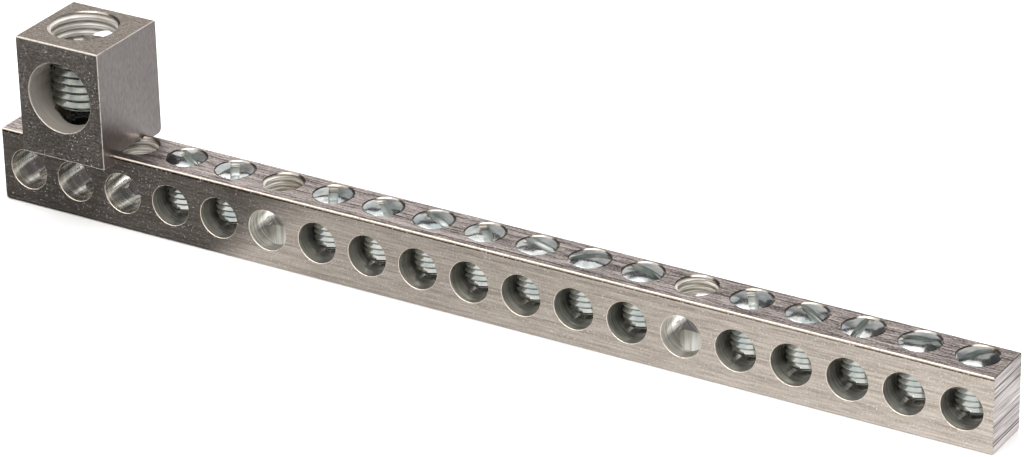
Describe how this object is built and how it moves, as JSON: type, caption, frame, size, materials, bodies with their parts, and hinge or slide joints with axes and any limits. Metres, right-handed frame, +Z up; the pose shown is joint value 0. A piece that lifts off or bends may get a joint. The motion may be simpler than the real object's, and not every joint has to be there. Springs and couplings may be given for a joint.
{
  "type": "ground bar",
  "caption": "Drilled aluminium ground bar with slotted wire-clamp screws along its top, mounting holes through it and a box lug for a heavy earth wire at one end.",
  "frame": {"origin": "midway between the two mounting holes, on the bar's underside", "axes": "+X along the bar away from the lug, +Z up along the screws, wires go in from -Y"},
  "size_m": [0.1666, 0.0151, 0.0294],
  "materials": {
    "bar_aluminium": "extruded, satin, drawn lengthwise",
    "lug_aluminium": "extruded and sawn, satin",
    "zinc_plated_steel": "bright zinc plate"
  },
  "bodies": {
    "bar": {"bar": "bar_aluminium", "lug": "lug_aluminium", "lug_fixing_screw": "zinc_plated_steel"},
    "lug_set_screw": {"lug_set_screw": "zinc_plated_steel"},
    "terminal_screw_04": {"terminal_screw_04": "zinc_plated_steel"},
    "terminal_screw_05": {"terminal_screw_05": "zinc_plated_steel"},
    "terminal_screw_07": {"terminal_screw_07": "zinc_plated_steel"},
    "terminal_screw_08": {"terminal_screw_08": "zinc_plated_steel"},
    "terminal_screw_09": {"terminal_screw_09": "zinc_plated_steel"},
    "terminal_screw_10": {"terminal_screw_10": "zinc_plated_steel"},
    "terminal_screw_11": {"terminal_screw_11": "zinc_plated_steel"},
    "terminal_screw_12": {"terminal_screw_12": "zinc_plated_steel"},
    "terminal_screw_13": {"terminal_screw_13": "zinc_plated_steel"},
    "terminal_screw_15": {"terminal_screw_15": "zinc_plated_steel"},
    "terminal_screw_16": {"terminal_screw_16": "zinc_plated_steel"},
    "terminal_screw_17": {"terminal_screw_17": "zinc_plated_steel"},
    "terminal_screw_18": {"terminal_screw_18": "zinc_plated_steel"},
    "terminal_screw_19": {"terminal_screw_19": "zinc_plated_steel"}
  },
  "joints": [
    {"name": "terminal_screw_04_travel", "type": "slide", "parent": "bar", "child": "terminal_screw_04", "axis": [0, 0, 1], "range_m": [0, 0.00544]},
    {"name": "terminal_screw_05_travel", "type": "slide", "parent": "bar", "child": "terminal_screw_05", "axis": [0, 0, 1], "range_m": [0, 0.00544]},
    {"name": "terminal_screw_07_travel", "type": "slide", "parent": "bar", "child": "terminal_screw_07", "axis": [0, 0, 1], "range_m": [0, 0.00544]},
    {"name": "terminal_screw_08_travel", "type": "slide", "parent": "bar", "child": "terminal_screw_08", "axis": [0, 0, 1], "range_m": [0, 0.00544]},
    {"name": "terminal_screw_09_travel", "type": "slide", "parent": "bar", "child": "terminal_screw_09", "axis": [0, 0, 1], "range_m": [0, 0.00544]},
    {"name": "terminal_screw_10_travel", "type": "slide", "parent": "bar", "child": "terminal_screw_10", "axis": [0, 0, 1], "range_m": [0, 0.00544]},
    {"name": "terminal_screw_11_travel", "type": "slide", "parent": "bar", "child": "terminal_screw_11", "axis": [0, 0, 1], "range_m": [0, 0.00544]},
    {"name": "terminal_screw_12_travel", "type": "slide", "parent": "bar", "child": "terminal_screw_12", "axis": [0, 0, 1], "range_m": [0, 0.00544]},
    {"name": "terminal_screw_13_travel", "type": "slide", "parent": "bar", "child": "terminal_screw_13", "axis": [0, 0, 1], "range_m": [0, 0.00544]},
    {"name": "terminal_screw_15_travel", "type": "slide", "parent": "bar", "child": "terminal_screw_15", "axis": [0, 0, 1], "range_m": [0, 0.00544]},
    {"name": "terminal_screw_16_travel", "type": "slide", "parent": "bar", "child": "terminal_screw_16", "axis": [0, 0, 1], "range_m": [0, 0.00544]},
    {"name": "terminal_screw_17_travel", "type": "slide", "parent": "bar", "child": "terminal_screw_17", "axis": [0, 0, 1], "range_m": [0, 0.00544]},
    {"name": "terminal_screw_18_travel", "type": "slide", "parent": "bar", "child": "terminal_screw_18", "axis": [0, 0, 1], "range_m": [0, 0.00544]},
    {"name": "terminal_screw_19_travel", "type": "slide", "parent": "bar", "child": "terminal_screw_19", "axis": [0, 0, 1], "range_m": [0, 0.00544]},
    {"name": "lug_set_screw_travel", "type": "slide", "parent": "bar", "child": "lug_set_screw", "axis": [0, 0, 1], "range_m": [-0.00127, 0.00889]}
  ]
}
